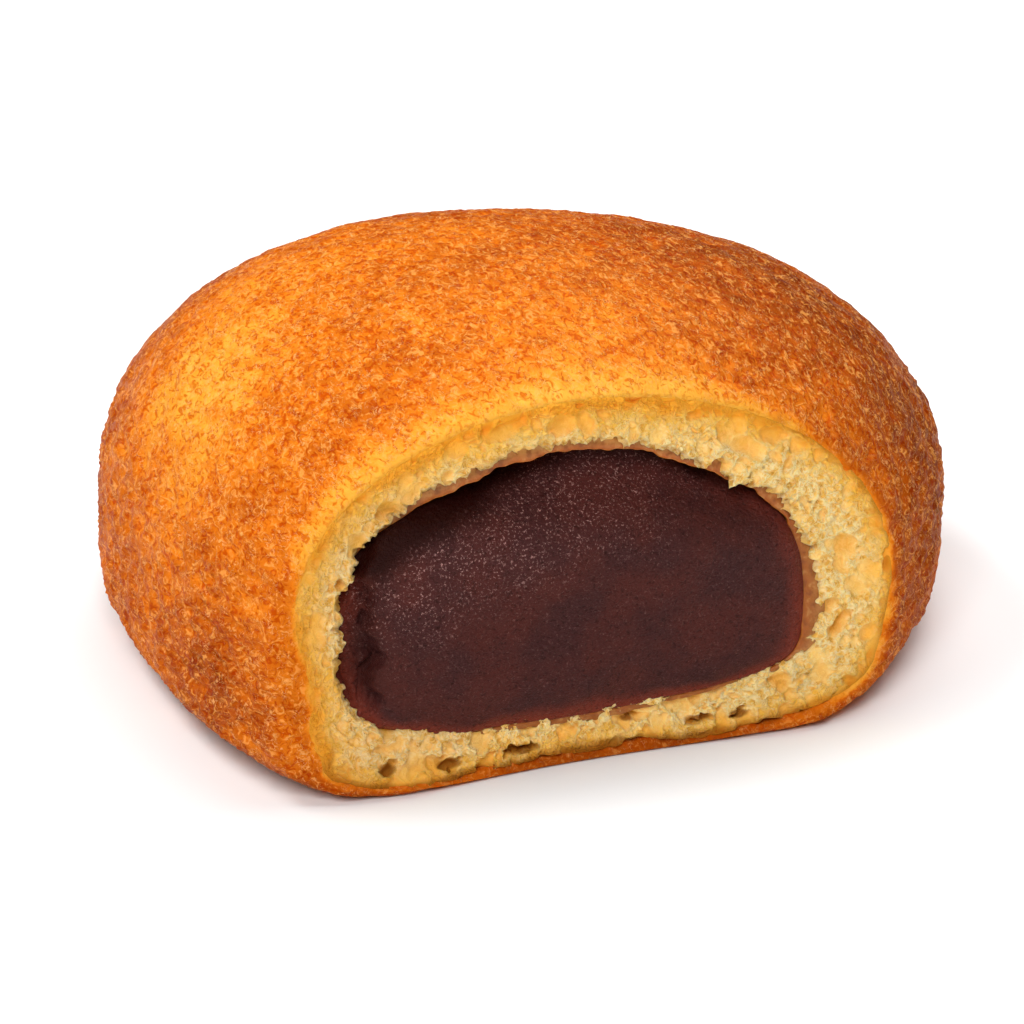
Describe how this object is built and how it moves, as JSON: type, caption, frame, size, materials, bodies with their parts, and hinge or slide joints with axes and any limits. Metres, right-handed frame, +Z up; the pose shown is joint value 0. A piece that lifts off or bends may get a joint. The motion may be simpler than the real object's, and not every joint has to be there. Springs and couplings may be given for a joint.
{
  "type": "bean paste doughnut",
  "caption": "Round fried dough bun with a browned crust, torn open at one side to show its soft crumb and its smooth dark bean paste filling.",
  "frame": {"origin": "under the middle of the bun's box, on the surface that it rests on", "axes": "+Z up; +X to the right along the torn face; the torn face looks along -Y"},
  "size_m": [0.08, 0.0738, 0.0392],
  "materials": {
    "dough": "golden brown fried crust, softly oily, over a matt cream-yellow crumb",
    "bean_paste": "moist, smooth, dark purple-brown paste with a fine grain"
  },
  "bodies": {
    "root": {"dough": "dough", "bean_paste": "bean_paste"}
  },
  "joints": []
}
